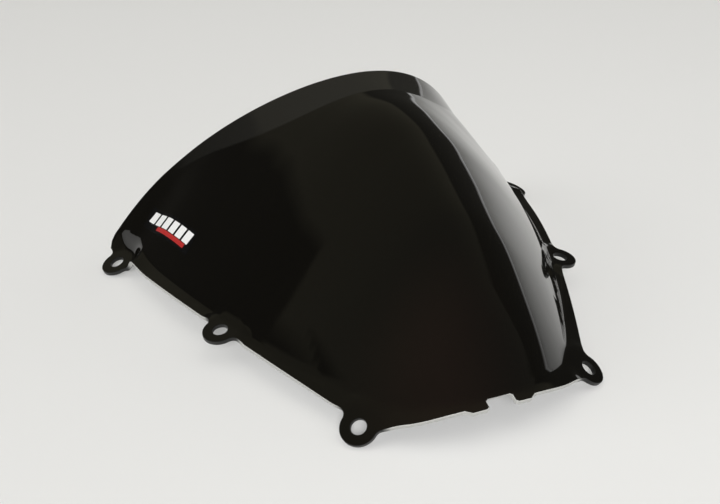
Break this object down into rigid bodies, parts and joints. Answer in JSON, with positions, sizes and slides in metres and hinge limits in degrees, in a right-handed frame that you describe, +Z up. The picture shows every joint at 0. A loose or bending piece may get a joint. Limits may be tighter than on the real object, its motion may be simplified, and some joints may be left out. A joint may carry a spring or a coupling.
{
  "type": "motorcycle windshield screen",
  "caption": "Smoked acrylic windshield screen for a sport motorcycle: a domed sheet with a kicked-up rear lip, a trimmed flange and screw ears along its edge.",
  "frame": {"origin": "middle of the part's box on the plane it stands on, which touches the front and rear ears", "axes": "+Z up, out of the top of the dome; the nose of the motorcycle is towards -Y, so +X is the rider's left and -X the rider's right"},
  "size_m": [0.3538, 0.307, 0.1525],
  "materials": {
    "smoked_acrylic": "polished dark smoked acrylic",
    "label_black": "satin vinyl film",
    "label_white": "screen print",
    "label_red": "screen print"
  },
  "bodies": {
    "root": {"screen_shell": "smoked_acrylic", "label_film": "label_black", "label_bar_white": "label_white", "label_bar_red": "label_red"}
  },
  "joints": []
}
